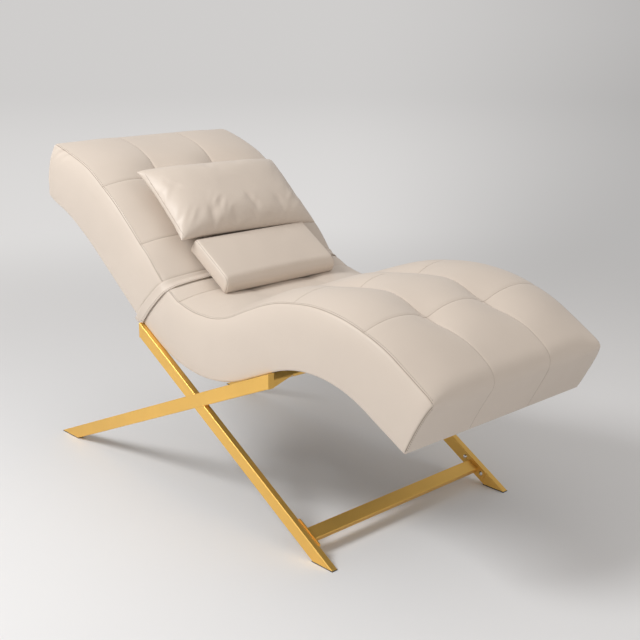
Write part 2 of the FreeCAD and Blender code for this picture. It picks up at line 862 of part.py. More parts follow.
def leg_room():
    ends = [(short_top_x - end_plate - flap_leg_gap), meet_x]
    upper = [(x, short_leg_z(x) + short_rise + flap_leg_gap) for x in ends]
    return prism([(ends[1], 0), (ends[0], 0)] + upper, -beyond, beyond)


flap = flap_half(back_path, back_rows, back_heights, flap_on_back)
flap = flap.fuse(flap_half(seat_path, seat_rows, seat_heights, flap_on_seat))
parts["joint_flap"] = flap.removeSplitter().cut(leg_room())


# Loose cushions: sections across the cushion, from its left end to its right end
def cushion_loft(origin, tilt, sections):
    along, up = direction(180 - tilt), direction(90 - tilt)
    wires = []
    for y, points in sections:
        spots = [origin + V(u * along[0] + n * up[0], y, u * along[1] + n * up[1]) for u, n in points]
        curves = []
        count = len(spots) // 2
        for i in range(count):
            curves.append(Part.Arc(spots[2 * i], spots[2 * i + 1], spots[(2 * i + 2) % len(spots)]))
        wires.append(Part.Wire([curve.toShape() for curve in curves]))
    return Part.makeLoft(wires, True, False)


# Four arcs: underside, upper edge, top and lower edge
def bulged_outline(half_length, low, high, low_bulge, high_bulge, end_bulge):
    middle = (low + high) / 2
    end = half_length + end_bulge
    return [(-half_length, low), (0, low - low_bulge), (half_length, low), (end, middle),
            (half_length, high), (0, high + high_bulge), (-half_length, high), (-end, middle)]


def head_pillow(inset):
    sections = []
    half_width = pillow_width / 2 - inset
    for share in (-1.0, -0.9, -0.65, -0.3, 0.0, 0.3, 0.65, 0.9, 1.0):
        swell = (pillow_height - pillow_edge) / 2 - inset
        bulge = 1.0 + (swell - 1.0) * (1 - abs(share) ** 3)
        half_length = pillow_length / 2 - pillow_waist * (1 - share ** 2) - inset
        edge = pillow_edge / 2
        outline = bulged_outline(half_length, -edge, edge, bulge, bulge, edge / 2)
        sections.append((share * half_width, outline))
    origin = offset_point(back_path, pillow_place, between(pillow_place, back_heights))
    lift = crown + pillow_rest_gap + pillow_height / 2
    up = direction(90 - pillow_tilt)
    return cushion_loft(origin + V(lift * up[0], 0, lift * up[1]), pillow_tilt, sections)


def lumbar_cushion(inset):
    sections = []
    half_width = lumbar_width / 2 - inset
    half_length = lumbar_length / 2 - inset
    half_height = lumbar_height / 2 - inset
    for share in (-1.0, -0.5, 0.0, 0.5, 1.0):
        swell = lumbar_swell + lumbar_crown * (1 - share ** 2)
        outline = bulged_outline(half_length, -half_height, half_height, lumbar_swell, swell, lumbar_bulge)
        sections.append((share * half_width, outline))
    x = joint_x + lumbar_from_joint * joint_up[0] + lumbar_past_joint * joint_across[0]
    z = joint_z + lumbar_from_joint * joint_up[1] + lumbar_past_joint * joint_across[1]
    return cushion_loft(V(x, 0, z), lumbar_tilt, sections)


for name, form in (("head_pillow", head_pillow), ("lumbar_cushion", lumbar_cushion)):
    parts[name + "_cover"] = form(0.0).cut(form(pillow_cover))
    parts[name + "_filling"] = form(pillow_cover + filling_gap)


# The origin is on the floor, in the middle of the bed's length and width
head_end = parts["back_cover"].optimalBoundingBox().XMin
foot_end = parts["seat_cover"].optimalBoundingBox().XMax
middle_x = (head_end + foot_end) / 2
os.makedirs("parts", exist_ok=True)
for name, shape in parts.items():
    placed = shape.copy()
    placed.translate(V(-middle_x, 0, 0))
    placed.exportStep("parts/" + name + ".step")
print("pieces", len(parts), "length", round(foot_end - head_end, 1), "middle", round(middle_x, 2))
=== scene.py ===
import json
import math

import bmesh
import bpy
from mathutils import Matrix, Vector, noise
from mathutils.bvhtree import BVHTree


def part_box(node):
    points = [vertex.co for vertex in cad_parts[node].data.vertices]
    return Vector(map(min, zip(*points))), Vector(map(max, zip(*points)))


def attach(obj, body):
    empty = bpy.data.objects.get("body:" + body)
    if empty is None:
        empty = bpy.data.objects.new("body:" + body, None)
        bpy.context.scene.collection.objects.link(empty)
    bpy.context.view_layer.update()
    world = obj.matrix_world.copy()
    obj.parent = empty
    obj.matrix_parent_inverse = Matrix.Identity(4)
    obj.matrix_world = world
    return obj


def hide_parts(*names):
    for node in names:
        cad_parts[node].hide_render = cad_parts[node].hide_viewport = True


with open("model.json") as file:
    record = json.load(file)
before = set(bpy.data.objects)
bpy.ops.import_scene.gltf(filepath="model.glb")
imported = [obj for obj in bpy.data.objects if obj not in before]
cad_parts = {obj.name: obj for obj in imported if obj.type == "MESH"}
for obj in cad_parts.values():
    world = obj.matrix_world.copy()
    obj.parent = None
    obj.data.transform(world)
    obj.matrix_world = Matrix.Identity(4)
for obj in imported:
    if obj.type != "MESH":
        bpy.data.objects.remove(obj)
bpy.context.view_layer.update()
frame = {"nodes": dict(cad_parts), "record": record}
scene = bpy.context.scene
print("frame loaded,", len(frame["nodes"]), "nodes")


# small helpers

def clamp(value, low=0.0, high=1.0):
    return max(low, min(high, value))


def smooth(value):
    value = clamp(value)
    return value * value * (3 - 2 * value)


def bell(away, reach):
    return math.exp(-(away / reach) ** 2)


def between(table, at):
    for (a, valueA), (b, valueB) in zip(table, table[1:]):
        if at <= b:
            return valueA + (valueB - valueA) * (at - a) / (b - a)
    return table[-1][1]


def cutLines(bm, axis, places):
    normal = Vector((0, 0, 0))
    normal[axis] = 1
    for place in places:
        geom = bm.verts[:] + bm.edges[:] + bm.faces[:]
        bmesh.ops.bisect_plane(bm, geom=geom, dist=1e-7, plane_co=normal * place, plane_no=normal)


def spread(low, high, step, seams=(), around=()):
    # even lines between low and high, with extra lines around the seams
    marks = sorted({low, high, *seams})
    places = set(seams)
    for a, b in zip(marks, marks[1:]):
        count = max(1, round((b - a) / step))
        places |= {a + (b - a) * i / count for i in range(1, count)}
    for seam in seams:
        places = {p for p in places if p == seam or abs(p - seam) > 1.3 * max(around)}
        places |= {seam + side * away for away in around for side in (-1, 1)}
    return sorted(p for p in places if low < p < high)


def boxMesh(low, high):
    bm = bmesh.new()
    bmesh.ops.create_cube(bm, size=1.0)
    size = Vector(high) - Vector(low)
    bmesh.ops.scale(bm, vec=size, verts=bm.verts)
    bmesh.ops.translate(bm, vec=(Vector(high) + Vector(low)) / 2, verts=bm.verts)
    return bm


def roundCorners(p, low, high, radius):
    # pushes a point of a box onto the same box with rounded edges
    core, push = Vector(p), Vector((0, 0, 0))
    for i, r in enumerate(radius):
        if p[i] < low[i] + r:
            core[i], push[i] = low[i] + r, (p[i] - low[i] - r) / r
        elif p[i] > high[i] - r:
            core[i], push[i] = high[i] - r, (p[i] - high[i] + r) / r
    length = push.length
    if length < 1e-9:
        return core
    for i, r in enumerate(radius):
        core[i] += r * push[i] / length
    return core


def shadeSmooth(mesh):
    for polygon in mesh.polygons:
        polygon.use_smooth = True


def meshObject(name, bm, material, body):
    mesh = bpy.data.meshes.new(name)
    bmesh.ops.recalc_face_normals(bm, faces=bm.faces)
    bm.to_mesh(mesh)
    bm.free()
    shadeSmooth(mesh)
    obj = bpy.data.objects.new(name, mesh)
    scene.collection.objects.link(obj)
    mesh.materials.append(material)
    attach(obj, body)
    print(name, "faces", len(mesh.polygons))
    return obj


def subdivide(obj, levels):
    modifier = obj.modifiers.new("Subdivision", "SUBSURF")
    modifier.levels = levels
    modifier.render_levels = levels


def thicken(obj, thick):
    wall = obj.modifiers.new("Thickness", "SOLIDIFY")
    wall.thickness = thick
    wall.offset = 0.0


# finishes

def feed(tree, node, sockets):
    # a number or colour goes onto its socket, an output is linked to it
    for name, value in sockets.items():
        if isinstance(value, bpy.types.NodeSocket):
            tree.links.new(value, node.inputs[name])
        else:
            node.inputs[name].default_value = value


def addNode(tree, kind, sockets):
    node = tree.nodes.new("ShaderNode" + kind)
    feed(tree, node, sockets)
    return node


def newMaterial(name):
    material = bpy.data.materials.new(name)
    material.use_nodes = True
    tree = material.node_tree
    return material, tree, tree.nodes["Principled BSDF"]


def objectPoint(tree, stretch=(1, 1, 1)):
    place = tree.nodes.new("ShaderNodeTexCoord").outputs["Object"]
    return addNode(tree, "Mapping", {"Scale": stretch, "Vector": place}).outputs["Vector"]


def noiseNode(tree, vector, scale, detail=3.0, rough=0.5):
    sockets = {"Scale": scale, "Detail": detail, "Roughness": rough, "Vector": vector}
    return addNode(tree, "TexNoise", sockets).outputs["Fac"]


def mapRange(tree, value, low, high, start=0.3, end=0.7, kind="LINEAR"):
    sockets = {"From Min": start, "From Max": end, "To Min": low, "To Max": high, "Value": value}
    node = addNode(tree, "MapRange", sockets)
    node.interpolation_type = kind
    return node.outputs["Result"]


def colourMix(tree, value, dark, light):
    ramp = addNode(tree, "ValToRGB", {"Fac": value})
    first, last = ramp.color_ramp.elements
    first.position, last.position = 0.3, 0.7
    first.color, last.color = (*dark, 1), (*light, 1)
    return ramp.outputs["Color"]


def addBump(tree, shader, height, strength, distance, before=None):
    sockets = {"Strength": strength, "Distance": distance, "Height": height}
    if before is not None:
        sockets["Normal"] = before
    normal = addNode(tree, "Bump", sockets).outputs["Normal"]
    tree.links.new(normal, shader.inputs["Normal"])
    return normal


leatherLook = {
    "colour": (0.648, 0.563, 0.484), "change": 0.022, "rough": (0.43, 0.5), "sheen": 0.12, "gloss": 0.42,
    "patches": 4.0, "wear": 22.0, "grain": 780.0, "creases": 70.0,
}


def beigeLeather():
    look = leatherLook
    material, tree, shader = newMaterial("beigeLeather")
    point = objectPoint(tree)
    patches = noiseNode(tree, point, look["patches"], 4.0)
    wear = noiseNode(tree, point, look["wear"], 4.0)
    dark = [c * (1 - look["change"]) for c in look["colour"]]
    light = [c * (1 + look["change"]) for c in look["colour"]]
    feed(tree, shader, {
        "Base Color": colourMix(tree, patches, dark, light),
        "Roughness": mapRange(tree, wear, *look["rough"]),
        "Sheen Weight": look["sheen"], "Sheen Roughness": 0.45, "Specular IOR Level": look["gloss"],
    })
    pebbles = addNode(tree, "TexVoronoi", {"Scale": look["grain"], "Vector": point}).outputs["Distance"]
    grain = addBump(tree, shader, pebbles, 0.1, 0.0004)
    creases = noiseNode(tree, point, look["creases"], 3.0)
    addBump(tree, shader, creases, 0.12, 0.0012, grain)
    return material


goldLook = {
    "colour": (0.89, 0.545, 0.135), "rough": (0.34, 0.44), "metal": 0.72, "streaks": 22.0, "spots": 9.0,
}


def goldMetal():
    look = goldLook
    material, tree, shader = newMaterial("satinGold")
    streaks = noiseNode(tree, objectPoint(tree, (6, 60, 6)), look["streaks"], 4.0)
    spots = noiseNode(tree, objectPoint(tree), look["spots"], 5.0)
    dark = [c * 0.96 for c in look["colour"]]
    light = [min(1, c * 1.03) for c in look["colour"]]
    feed(tree, shader, {
        "Base Color": colourMix(tree, spots, dark, light),
        "Roughness": mapRange(tree, streaks, *look["rough"]), "Metallic": look["metal"],
    })
    addBump(tree, shader, streaks, 0.05, 0.0003)
    return material


steelLook = {"dark": (0.62, 0.63, 0.65), "light": (0.74, 0.75, 0.77), "rough": (0.2, 0.34), "spangle": 90.0}


def plainSteel():
    look = steelLook
    material, tree, shader = newMaterial("zincSteel")
    spangle = noiseNode(tree, objectPoint(tree), look["spangle"], 4.0)
    feed(tree, shader, {
        "Base Color": colourMix(tree, spangle, look["dark"], look["light"]),
        "Roughness": mapRange(tree, spangle, *look["rough"]), "Metallic": 1.0,
    })
    addBump(tree, shader, spangle, 0.05, 0.0002)
    return material


timberLook = {
    "dark": (0.50, 0.34, 0.19), "light": (0.66, 0.48, 0.29), "rough": (0.6, 0.8),
    "rings": 26.0, "fibre": 160.0,
}


def rawTimber():
    look = timberLook
    material, tree, shader = newMaterial("rawTimber")
    point = objectPoint(tree, (1.0, 0.12, 1.0))
    sockets = {"Scale": look["rings"], "Distortion": 5.0, "Detail": 3.0, "Vector": point}
    rings = addNode(tree, "TexWave", sockets).outputs["Fac"]
    fibre = noiseNode(tree, point, look["fibre"], 4.0)
    feed(tree, shader, {
        "Base Color": colourMix(tree, rings, look["dark"], look["light"]),
        "Roughness": mapRange(tree, fibre, *look["rough"]),
    })
    addBump(tree, shader, fibre, 0.2, 0.0006)
    return material


def clothMaterial(name, dark, light, scale, rough):
    material, tree, shader = newMaterial(name)
    fibres = noiseNode(tree, objectPoint(tree), scale, 5.0, 0.65)
    feed(tree, shader, {
        "Base Color": colourMix(tree, fibres, dark, light),
        "Roughness": mapRange(tree, fibres, rough - 0.08, rough), "Sheen Weight": 0.2,
    })
    addBump(tree, shader, fibres, 0.25, 0.0005)
    return material


leather = beigeLeather()
finishes = {
    "beige_leather": leather,
    "gold_metal": goldMetal(),
    "plain_steel": plainSteel(),
    "timber": rawTimber(),
    "foam": clothMaterial("padFoam", (0.70, 0.64, 0.48), (0.80, 0.74, 0.60), 300.0, 0.95),
    "dust_cloth": clothMaterial("blackDustCloth", (0.014, 0.014, 0.015), (0.03, 0.03, 0.032), 420.0, 0.92),
    "tuft_twine": clothMaterial("tuftTwine", (0.55, 0.48, 0.36), (0.72, 0.65, 0.52), 500.0, 0.9),
    "foot_rubber": clothMaterial("footRubber", (0.02, 0.02, 0.02), (0.035, 0.035, 0.035), 240.0, 0.7),
}
thread = clothMaterial("seamThread", (0.20, 0.155, 0.12), (0.29, 0.235, 0.185), 900.0, 0.8)
# painted shade: the dark colour of the strips at the bottom of the seam grooves
seamShade = clothMaterial("paintedSeamShade", (0.27, 0.21, 0.16), (0.36, 0.29, 0.23), 700.0, 0.85)
nodeSlots = {part["node"]: part["material_slot"] for part in frame["record"]["subparts"]}
for nodeName, node in frame["nodes"].items():
    node.data.materials.clear()
    node.data.materials.append(finishes[nodeSlots[nodeName]])
print("materials ready")


# the two upholstered halves

# runs are (length, radius) along the underside, all in metres
seatPad = {
    "start": (-0.33455, 0.5095), "heading": -30.1, "upper": 1,
    "runs": [(0.09846, 0), (0.432335, 0.46), (0.12768, 0), (0.361284, -0.40), (0.156, 0)],
    "heights": [
        (0, 0.170), (0.0985, 0.170), (0.3146, 0.183), (0.6585, 0.183), (1.0198, 0.178), (1.1758, 0.170),
    ],
    "rows": [(0.108, 0.15), (0.760, 1.0), (0.943, 1.0)],  # tuft rows and how hard they pull
    "first": 0.0012, "step": 0.0145, "seamFrom": 0.70, "pleats": [], "hem": None,
    "crown": 0.024, "endDrop": 0.012, "endDraw": 0.003, "lean": 0, "drop": 0, "lip": 0,
    "roll": 0.032, "endCrown": 0.013, "endLow": 0.004,  # the top rolls over the end
}
backPad = {
    "start": (-0.33755, 0.5065), "heading": 143.0, "upper": -1,
    "runs": [(0.288, 0), (0.320442, 1.08)],
    "heights": [(0, 0.174), (0.1, 0.190), (0.288, 0.197), (0.448, 0.197), (0.6084, 0.180)],
    "rows": [(0.140, 0.45), (0.372, 1.0)], "first": 0.0012, "step": 0.0145,
    "crown": 0.018, "endDrop": 0.004, "endDraw": 0.002, "seamFrom": -1,
    "lean": 0.017, "drop": 0.007, "lip": 0.009,  # the head end leans out at its top and is deeper
    "pleats": [(0.025, 0.0050), (0.051, 0.0062), (0.077, 0.0040)],  # from the end, depth
    "roll": 0.006, "endCrown": 0.007, "endLow": 0.016,
    "hem": 0.0186,  # where the flap's edge presses into the leather
}
padLook = {
    "seamHalf": 0.350, "lowHalf": 0.361, "column": 0.117, "boxHeight": 0.180, "lowZone": 0.080,
    "underGap": 0.0007, "upperFrom": 0.05, "dome": (0.62, 0.34), "cell": 0.0165,
    "sideBow": (0.027, 0.038), "sideRoll": 0.0048, "sideRollFrom": (0.02, 0.08),
    "crown": 0.024, "ridge": 0.013, "tuft": -0.006, "tuftReach": 0.060, "pinch": 0.010, "pinchReach": 0.016,
    "deepest": 0.0090, "deepBlend": 0.003, "rowGap": 0.25,
    "openRidge": 0.0232, "openStart": 0.020, "openReach": 0.140,
    "rollReach": 0.049, "rollBlend": 0.090, "crownBlend": 0.150, "endRound": 0.030, "headBlend": 0.150,
    "jointTilt": 45.0, "jointBlend": 0.150, "jointEdge": 0.016, "jointReach": 0.05,
    "topEdge": 0.006, "lowEdge": 0.004, "endEdge": 0.006, "firstEdge": 0.002, "lowReach": 0.06,
    "seamDepth": 0.0023, "seamWidth": 0.0025, "seamLines": (0.0021, 0.0056), "endSeam": 0.35,
    "crossDip": 0.0022, "crossReach": 0.034, "crossFade": 0.006, "endFade": 0.02, "startFade": 0.04,
    "edgeDepth": 0.0017, "edgeWidth": 0.0030, "edgeLines": (0.0016, 0.0034, 0.010),
    "firstLine": 0.004, "endLines": (0.014, 0.019), "lowLines": (0.0018, 0.008, 0.0125),
    "pleatWidth": 0.0062, "pleatReach": 0.0095, "pleatLean": -0.7, "pleatZone": (0.019, 0.1),
    "pleatLines": (0.0145, 0.020, 0.026, 0.033), "pleatStep": 0.0035, "pleatSteps": 22,
    "hemDepth": 0.0022, "hemWidth": 0.0022, "hemLines": (-0.005, -0.002, 0, 0.002, 0.005), "hemClear": 0.009,
    "uneven": 0.0009, "unevenScale": 13.0, "recessHalf": 0.3405, "recessTop": 0.0766, "recessEnd": 0.0295,
}


def pathAt(pad, s):
    x, z = pad["start"]
    heading = math.radians(pad["heading"])
    covered = 0.0
    for i, (length, radius) in enumerate(pad["runs"]):
        last = i == len(pad["runs"]) - 1
        step = s - covered if last or s - covered < length else length
        if radius == 0:
            x, z = x + step * math.cos(heading), z + step * math.sin(heading)
        else:
            turned = heading + step / radius
            x += radius * (math.sin(turned) - math.sin(heading))
            z -= radius * (math.cos(turned) - math.cos(heading))
            heading = turned
        covered += length
        if s < covered:
            break
    return x, z, math.degrees(heading)


def padLength(pad):
    return sum(length for length, radius in pad["runs"])


def padBox(pad):
    # the plain box that a pad is bent from
    half = padLook["seamHalf"]
    return (pad["first"], -half, padLook["underGap"]), (padLength(pad), half, padLook["boxHeight"])


def slopeAt(pad, s):
    heading = pathAt(pad, s)[2]
    return -heading if pad["upper"] == 1 else 180 - heading


def bend(pad, s, y, h):
    # from distance, width and height on the straight pad to its place on the bed
    x, z = pathAt(pad, s)[:2]
    share = clamp(1 - s / padLook["jointBlend"])
    tilt = math.radians(slopeAt(pad, s) + (padLook["jointTilt"] - slopeAt(pad, 0)) * share)
    return Vector((x + h * math.sin(tilt), y, z + h * math.cos(tilt)))


def seamLine(away):
    return bell(away, padLook["seamWidth"])


def topRise(pad, s, y):
    look = padLook
    away, column = abs(y), look["column"]
    left = max(padLength(pad) - s, 0.0)
    grown = math.sin(math.pi / 2 * clamp(left / look["crownBlend"]))
    crown = pad["endCrown"] + (pad["crown"] - pad["endCrown"]) * grown
    # the lengthwise seams lie deep between near tufts and shallow past them
    places = [row for row, weight in pad["rows"]]
    past = smooth((min(abs(s - row) for row in places) - look["openStart"]) / look["openReach"])
    if any(a < s < b and b - a < look["rowGap"] for a, b in zip(places, places[1:])):
        past = 0.0
    ridge = crown * (look["ridge"] + (look["openRidge"] - look["ridge"]) * past) / look["crown"]
    pull = max(weight * bell(s - row, look["tuftReach"]) for row, weight in pad["rows"])
    seam = ridge + (look["tuft"] - ridge) * pull
    if away < column:
        t = away / column
        rise = crown + (seam - crown) * t * t
    else:
        # parabola from the lengthwise seam over the crown to the edge seam
        t = clamp((away - column) / (look["seamHalf"] - column), 0, 1.05)
        rise = seam * (1 - t) * (1 - 2 * t) + crown * 4 * t * (1 - t)
    inside = smooth((look["seamHalf"] - away) / look["crossFade"])
    for row, weight in pad["rows"]:
        along = s - row
        rise -= inside * look["crossDip"] * bell(along, look["crossReach"])
        rise -= inside * look["seamDepth"] * seamLine(along)
        reach = math.hypot(along, away - column)
        rise -= weight * look["pinch"] * math.exp(-reach / look["pinchReach"])
    shown = smooth(left / look["endFade"] + 0.5) * smooth((s - pad["seamFrom"]) / look["startFade"])
    rise -= look["seamDepth"] * seamLine(away - column) * shown * (1 - 0.5 * past)
    # a tuft stays above the top of its tie
    above = rise + look["deepest"] - look["deepBlend"]
    return rise if above > 0 else look["deepBlend"] * math.exp(above / look["deepBlend"]) - look["deepest"]


def shapePad(pad, s, y, h):
    # y is measured at the edge seam's level, h on a pad of one height
    look = padLook
    left = max(padLength(pad) - s, 0.0)
    into = clamp(1 - left / look["endRound"])
    turned = 1 - math.sqrt(max(0.0, 1 - into * into))
    over = clamp(1 - left / look["rollReach"])
    rolled = 1 - math.sqrt(max(0.0, 1 - over * over))
    inside = smooth((look["seamHalf"] - abs(y)) / look["rollBlend"])
    height = between(pad["heights"], max(s, 0.0)) - pad["endDrop"] * turned - pad["roll"] * rolled * inside
    low, full = look["lowZone"], look["boxHeight"]
    level = h if h < low else low + (h - low) * (height - low) / (full - low)
    t = clamp(level / height, -0.2, 1.05)
    out, back = look["sideBow"]
    half = look["lowHalf"] + out * t - back * t * t - pad["endDraw"] * turned * smooth(t)
    # the sides roll softly up to the edge seam, away from the joint
    start, reach = look["sideRollFrom"]
    half += look["sideRoll"] * math.sin(math.pi * clamp(t) ** 3) * smooth((max(s, 0.0) - start) / reach)
    wide = y * half / look["seamHalf"]
    upper = smooth((t - look["dome"][0]) / look["dome"][1])
    if upper > 0:
        level += upper * topRise(pad, s, y)
    if pad["lean"]:
        share = smooth(1 - left / look["headBlend"])
        level -= share * (pad["drop"] * clamp(t) + pad["lip"] * clamp(1 - 2 * t))
        s += share * pad["lean"] * clamp(t)
    return s, wide, level


def padSkin(pad, s, y, h):
    # the pad's surface over a point of its plain box
    look = padLook
    low, high = padBox(pad)
    length, isUpper = high[0], h > look["upperFrom"]
    edge = look["topEdge"] + look["jointEdge"] * bell(s, look["jointReach"])
    end = look["endEdge"] if s > length / 2 else look["firstEdge"]
    if not isUpper:  # the lower edges, rounder towards the end
        nearEnd = smooth(1 - (length - s) / look["lowReach"])
        edge = look["lowEdge"] + (pad["endLow"] - look["lowEdge"]) * nearEnd
        end = max(end, pad["endLow"]) if s > length / 2 else end
    rs, ry, rh = roundCorners((s, y, h), low, high, (end, edge, edge))
    fromTop, fromSide, fromEnd = look["boxHeight"] - h, look["seamHalf"] - abs(y), length - s
    if isUpper:  # the seam along the top edge
        dip = 0.7 * look["edgeDepth"] * bell(fromTop + fromSide, look["edgeWidth"])
        ry -= math.copysign(dip, y)
        rh -= dip
    if s > length / 2:  # the seam down the end's corners
        dip = 0.7 * look["edgeDepth"] * bell(fromEnd + fromSide, look["edgeWidth"])
        ry -= math.copysign(dip, y)
        rs -= dip
    if pad["hem"] and isUpper:
        press = look["hemDepth"] * bell(s - pad["hem"], look["hemWidth"])
        rh -= press if fromTop < 1e-6 else 0.0
        ry -= math.copysign(press, y) if fromSide < 1e-6 else 0.0
    for place, depth in pad["pleats"]:
        aside = fromEnd - place - look["pleatLean"] * fromTop
        below = fromTop / look["pleatReach"]
        fold = bell(aside, look["pleatWidth"]) * below * math.exp(1 - below)
        ry -= math.copysign(depth * fold, y)
    if s > length - 1e-6:  # lengthwise seams run on down the end
        rs -= look["endSeam"] * look["seamDepth"] * seamLine(abs(y) - look["column"]) * smooth(h / 0.03)
    ss, yy, hh = shapePad(pad, rs, ry, rh)
    if isUpper:
        hh += look["uneven"] * noise.noise(Vector((ss, yy, hh)) * look["unevenScale"])
    return bend(pad, ss, yy, hh)


def upholster(name, pad, body, nodes):
    look = padLook
    low, high = padBox(pad)
    bm = boxMesh(low, high)
    edge, around, first = look["topEdge"], look["seamLines"], low[0] + look["firstLine"]
    edges = (*look["edgeLines"], edge)
    ySeams = [-look["column"], look["column"]]
    yLines = spread(low[1] + edge, high[1] - edge, look["cell"], ySeams, around)
    yLines += [side * (look["seamHalf"] - away) for side in (-1, 1) for away in edges]
    yLines += [side * look["recessHalf"] * look["seamHalf"] / look["lowHalf"] for side in (-1, 1)]
    cutLines(bm, 1, sorted(set(yLines)))
    hLines = spread(low[2] + look["lowEdge"], high[2] - edge, look["cell"])
    hLines += [low[2] + up for up in (look["lowEdge"], *look["lowLines"])]
    hLines += [high[2] - away for away in edges]
    if pad["pleats"]:
        hLines = [h for h in hLines if not edge + 0.005 < high[2] - h < 0.035]
        hLines += [high[2] - away for away in look["pleatLines"]]
    cutLines(bm, 2, sorted(hLines))
    sSeams = [row for row, weight in pad["rows"]]
    sLines = spread(first, high[0] - look["endRound"], pad["step"], sSeams, around) + [first]
    ends = (*look["edgeLines"], look["endEdge"], *look["endLines"], look["endRound"])
    sLines += [high[0] - away for away in ends]
    if pad["hem"]:
        sLines = [s for s in sLines if abs(s - pad["hem"]) > look["hemClear"]]
        sLines += [pad["hem"] + away for away in look["hemLines"]]
    if pad["pleats"]:
        near, far = look["pleatZone"]
        sLines = [s for s in sLines if not near < high[0] - s < far]
        sLines += [high[0] - near - look["pleatStep"] * (i + 1) for i in range(look["pleatSteps"])]
    cutLines(bm, 0, sorted(set(sLines)))
    # the hollow under the pad, where the timber frame sits
    room = look["recessHalf"] * look["seamHalf"] / look["lowHalf"] + 1e-4
    under = [f for f in bm.faces if f.normal.z < -0.9 and abs(f.calc_center_median().y) < room
             and first < f.calc_center_median().x < high[0] - look["recessEnd"]]
    lifted = bmesh.ops.extrude_face_region(bm, geom=under)["geom"]
    inner = {v for v in lifted if isinstance(v, bmesh.types.BMVert)}
    bmesh.ops.translate(bm, vec=(0, 0, look["recessTop"]), verts=list(inner))
    for v in bm.verts:
        v.co = bend(pad, *shapePad(pad, *v.co)) if v in inner else padSkin(pad, *v.co)
    obj = meshObject(name, bm, leather, body)
    subdivide(obj, 1)
    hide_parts(*nodes)
    return obj


layers = ("cover", "foam", "edge_foam")
seatSkin = upholster("seatUpholstery", seatPad, "frame_and_seat", ["seat_" + layer for layer in layers])
backSkin = upholster("backUpholstery", backPad, "backrest", ["back_" + layer for layer in layers])


# the leather flap over the joint, sewn to the backrest's end

flapLook = {
    "onBack": 0.016, "onSeat": 0.022, "off": 0.0033, "thick": 0.0024, "hang": -0.0195, "overLeg": 0.0016,
    "legStart": 0.0125, "tipStart": 0.004, "backShift": 0.00424, "hangZone": 0.04,
    "sideFrom": (0.3, 0.05), "topBlend": 0.012, "topFrom": (0.15, 0.02), "hemLift": 0.0012, "hemReach": 0.006,
    "lines": (-0.012, -0.008, -0.004, 0.0, 0.004, 0.008, 0.0125, 0.015, 0.0172, 0.0195),
}


def flapPoint(s, y, h, off):
    # one skin outside both pads; below the seat it hangs beside the leg's end
    look = flapLook
    onLeg = smooth((s - look["tipStart"]) / (look["legStart"] - look["tipStart"]))
    lowest = look["hang"] + (look["overLeg"] - look["hang"]) * onLeg
    full, zone = padLook["boxHeight"], look["hangZone"]
    if h < zone:
        h = lowest + (h - look["hang"]) * (zone - lowest) / (zone - look["hang"])
    pad, along, shift = (seatPad, s, 0.0) if s >= 0 else (backPad, -s, look["backShift"])
    half = padLook["seamHalf"]
    skinY, skinH = clamp(y, -half, half), min(h, full)
    along, wide, level = shapePad(pad, along, skinY, skinH + shift * (1 - clamp(skinH / full)))
    start, reach = look["sideFrom"]
    beside = smooth((abs(y) - start) / reach) * clamp((full - h) / look["topBlend"])
    wide += (y - skinY) + math.copysign(off, y) * beside
    level += h - skinH
    return bend(pad, along, wide, level)


def flapBox():
    half, top = padLook["seamHalf"], padLook["boxHeight"] + flapLook["off"]
    return half, top, padLook["topEdge"] + padLook["jointEdge"] + flapLook["off"]


def roundFlap(y, h):
    half, top, edge = flapBox()
    return roundCorners((0, y, h), (-1, -half, -1), (1, half, top), (0.001, edge, edge))[1:]


def onTop(h):
    start, reach = flapLook["topFrom"]
    return smooth((h - start) / reach)


def sewFlap():
    look = flapLook
    half, top, edge = flapBox()
    bm = boxMesh((-look["onBack"], -half, look["hang"]), (look["onSeat"], half, top))
    ends = [f for f in bm.faces if abs(f.normal.x) > 0.9 or f.normal.z < -0.9]
    bmesh.ops.delete(bm, geom=ends, context="FACES_ONLY")
    columns = [-padLook["column"], padLook["column"]]
    rounds = (0.004, 0.009, 0.016, edge)
    cutLines(bm, 1, spread(-half + edge, half - edge, padLook["cell"], columns, padLook["seamLines"]))
    cutLines(bm, 1, [side * (half - away) for side in (-1, 1) for away in rounds])
    levels = spread(0.012, top - edge, padLook["cell"]) + [0.0, 0.006, 0.012]
    cutLines(bm, 2, levels + [top - away for away in rounds])
    cutLines(bm, 0, look["lines"])
    for v in bm.verts:
        s = v.co.x
        y, h = roundFlap(v.co.y, v.co.z)
        lift = look["hemLift"] * bell(s - look["onSeat"], look["hemReach"])  # the hem stands off
        v.co = flapPoint(s, y, h + lift * onTop(h), look["off"] + lift)
    obj = meshObject("jointFlap", bm, leather, "backrest")
    thicken(obj, look["thick"])
    subdivide(obj, 1)
    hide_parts("joint_flap")
    return obj


flapSkin = sewFlap()


# stitches along the seams

stitchLook = {
    "long": 0.0048, "pitch": 0.0075, "wide": 0.0017, "high": 0.0008, "beside": 0.0047, "fromEnd": 0.013,
    "offFlap": 0.003,
}
seamLook = {"step": 0.006, "edge": 0.0024, "cross": 0.0011, "long": 0.0006, "high": 0.0003, "lowest": 0.003}


def stepAlong(row, pitch):
    places, wait = [], 0.0
    for a, b in zip(row, row[1:]):
        run = (b - a).length
        while wait < run:
            places.append((a.lerp(b, wait / run), (b - a).normalized()))
            wait += pitch
        wait -= run
    return places


def skinTree(skin):
    return BVHTree.FromObject(skin, bpy.context.evaluated_depsgraph_get())


def addRing(bm, points, rings=None):
    ring = [bm.verts.new(p) for p in points]
    if rings:
        for i in range(len(ring)):
            bm.faces.new((rings[-1][i - 1], rings[-1][i], ring[i], ring[i - 1]))
    return ring


